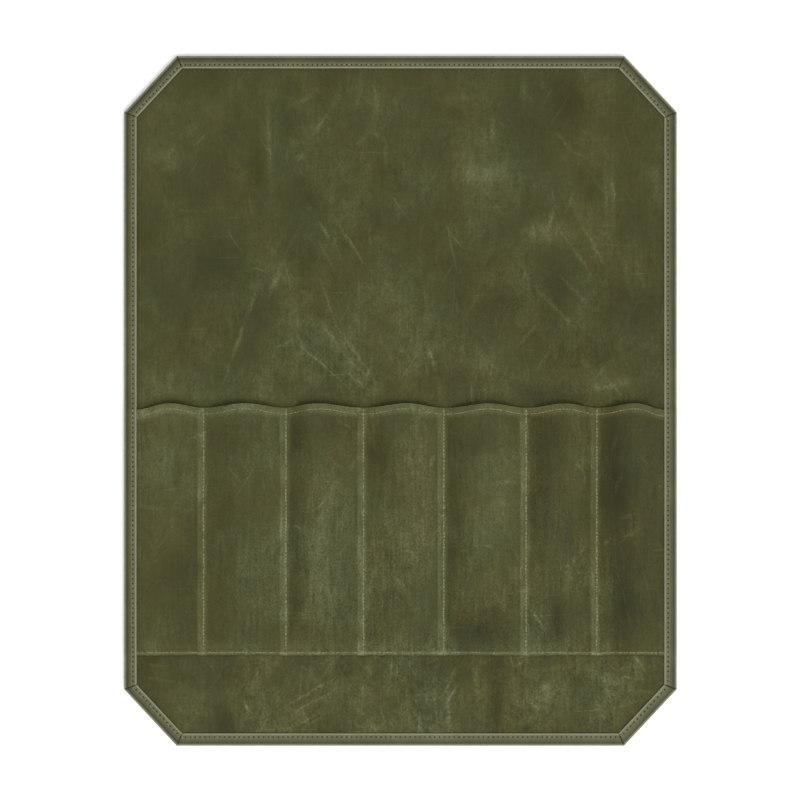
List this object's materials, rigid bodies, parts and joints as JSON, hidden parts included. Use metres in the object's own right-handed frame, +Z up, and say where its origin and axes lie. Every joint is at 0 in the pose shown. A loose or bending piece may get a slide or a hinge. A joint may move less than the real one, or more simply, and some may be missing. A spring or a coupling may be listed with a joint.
{
  "type": "leather pencil roll",
  "caption": "Flat-opening leather pencil case: bound panel with cut corners, sewn pencil pockets and a fold-down flap, wound up along its pocket seams.",
  "frame": {"origin": "under the middle of the open roll, on the surface that it lies on", "axes": "+Z up out of the pocket side, +Y from the pockets towards the flap, +X to the right with the flap at the top"},
  "size_m": [0.3052, 0.381, 0.009],
  "materials": {
    "outer_leather": "waxed pull-up leather, matt with a soft sheen, dark olive",
    "lining_leather": "waxed pull-up leather, matt with a soft sheen, dark olive, cloudy",
    "pocket_leather": "waxed pull-up leather, matt with a soft sheen, dark olive, rubbed paler on its ridges",
    "binding_leather": "waxed pull-up leather, rubbed paler along its stitched edge",
    "thread": "twisted olive thread"
  },
  "bodies": {
    "panel_1": {"outer_panel_1": "outer_leather", "lining_panel_1": "lining_leather", "pocket_front_1": "pocket_leather", "binding_bottom_1": "binding_leather", "binding_left_lower": "binding_leather", "binding_corner_bottom_left": "binding_leather"},
    "panel_2": {"outer_panel_2": "outer_leather", "lining_panel_2": "lining_leather", "pocket_front_2": "pocket_leather", "binding_bottom_2": "binding_leather"},
    "panel_3": {"outer_panel_3": "outer_leather", "lining_panel_3": "lining_leather", "pocket_front_3": "pocket_leather", "binding_bottom_3": "binding_leather"},
    "panel_4": {"outer_panel_4": "outer_leather", "lining_panel_4": "lining_leather", "pocket_front_4": "pocket_leather", "binding_bottom_4": "binding_leather"},
    "panel_5": {"outer_panel_5": "outer_leather", "lining_panel_5": "lining_leather", "pocket_front_5": "pocket_leather", "binding_bottom_5": "binding_leather"},
    "panel_6": {"outer_panel_6": "outer_leather", "lining_panel_6": "lining_leather", "pocket_front_6": "pocket_leather", "binding_bottom_6": "binding_leather"},
    "panel_7": {"outer_panel_7": "outer_leather", "lining_panel_7": "lining_leather", "pocket_front_7": "pocket_leather", "binding_bottom_7": "binding_leather", "binding_right_lower": "binding_leather", "binding_corner_bottom_right": "binding_leather"},
    "flap_1": {"outer_flap_1": "outer_leather", "lining_flap_1": "lining_leather", "binding_top_1": "binding_leather", "binding_left_upper": "binding_leather", "binding_corner_top_left": "binding_leather"},
    "flap_2": {"outer_flap_2": "outer_leather", "lining_flap_2": "lining_leather", "binding_top_2": "binding_leather"},
    "flap_3": {"outer_flap_3": "outer_leather", "lining_flap_3": "lining_leather", "binding_top_3": "binding_leather"},
    "flap_4": {"outer_flap_4": "outer_leather", "lining_flap_4": "lining_leather", "binding_top_4": "binding_leather"},
    "flap_5": {"outer_flap_5": "outer_leather", "lining_flap_5": "lining_leather", "binding_top_5": "binding_leather"},
    "flap_6": {"outer_flap_6": "outer_leather", "lining_flap_6": "lining_leather", "binding_top_6": "binding_leather"},
    "flap_7": {"outer_flap_7": "outer_leather", "lining_flap_7": "lining_leather", "binding_top_7": "binding_leather", "binding_right_upper": "binding_leather", "binding_corner_top_right": "binding_leather"}
  },
  "joints": [
    {"name": "roll_1", "type": "hinge", "parent": "panel_2", "child": "panel_1", "pos_m": [-0.1087, 0, 0.0143], "axis": [0, 1, 0], "range_deg": [0, 50]},
    {"name": "roll_2", "type": "hinge", "parent": "panel_3", "child": "panel_2", "pos_m": [-0.0632, 0, 0.0143], "axis": [0, 1, 0], "range_deg": [0, 50]},
    {"name": "roll_3", "type": "hinge", "parent": "panel_4", "child": "panel_3", "pos_m": [-0.0204, 0, 0.0143], "axis": [0, 1, 0], "range_deg": [0, 50]},
    {"name": "roll_4", "type": "hinge", "parent": "panel_4", "child": "panel_5", "pos_m": [0.0239, 0, 0.0143], "axis": [0, -1, 0], "range_deg": [0, 50]},
    {"name": "roll_5", "type": "hinge", "parent": "panel_5", "child": "panel_6", "pos_m": [0.0694, 0, 0.0143], "axis": [0, -1, 0], "range_deg": [0, 50]},
    {"name": "roll_6", "type": "hinge", "parent": "panel_6", "child": "panel_7", "pos_m": [0.1084, 0, 0.0143], "axis": [0, -1, 0], "range_deg": [0, 50]},
    {"name": "fold_1", "type": "hinge", "parent": "panel_1", "child": "flap_1", "pos_m": [-0.13065, 0.0529, 0.007], "axis": [1, 0, 0], "range_deg": [0, 180]},
    {"name": "fold_2", "type": "hinge", "parent": "panel_2", "child": "flap_2", "pos_m": [-0.08595, 0.0529, 0.007], "axis": [1, 0, 0], "range_deg": [0, 180]},
    {"name": "fold_3", "type": "hinge", "parent": "panel_3", "child": "flap_3", "pos_m": [-0.0418, 0.0529, 0.007], "axis": [1, 0, 0], "range_deg": [0, 180]},
    {"name": "fold_4", "type": "hinge", "parent": "panel_4", "child": "flap_4", "pos_m": [0.00175, 0.0529, 0.007], "axis": [1, 0, 0], "range_deg": [0, 180]},
    {"name": "fold_5", "type": "hinge", "parent": "panel_5", "child": "flap_5", "pos_m": [0.04665, 0.0529, 0.007], "axis": [1, 0, 0], "range_deg": [0, 180]},
    {"name": "fold_6", "type": "hinge", "parent": "panel_6", "child": "flap_6", "pos_m": [0.0889, 0.0529, 0.007], "axis": [1, 0, 0], "range_deg": [0, 180]},
    {"name": "fold_7", "type": "hinge", "parent": "panel_7", "child": "flap_7", "pos_m": [0.1305, 0.0529, 0.007], "axis": [1, 0, 0], "range_deg": [0, 180]}
  ],
  "couplings": [
    {"joint": "roll_1", "follows": "roll_3", "ratio": 1},
    {"joint": "roll_2", "follows": "roll_3", "ratio": 1},
    {"joint": "roll_4", "follows": "roll_3", "ratio": 1},
    {"joint": "roll_5", "follows": "roll_3", "ratio": 1},
    {"joint": "roll_6", "follows": "roll_3", "ratio": 1},
    {"joint": "fold_1", "follows": "fold_4", "ratio": 1},
    {"joint": "fold_2", "follows": "fold_4", "ratio": 1},
    {"joint": "fold_3", "follows": "fold_4", "ratio": 1},
    {"joint": "fold_5", "follows": "fold_4", "ratio": 1},
    {"joint": "fold_6", "follows": "fold_4", "ratio": 1},
    {"joint": "fold_7", "follows": "fold_4", "ratio": 1}
  ]
}
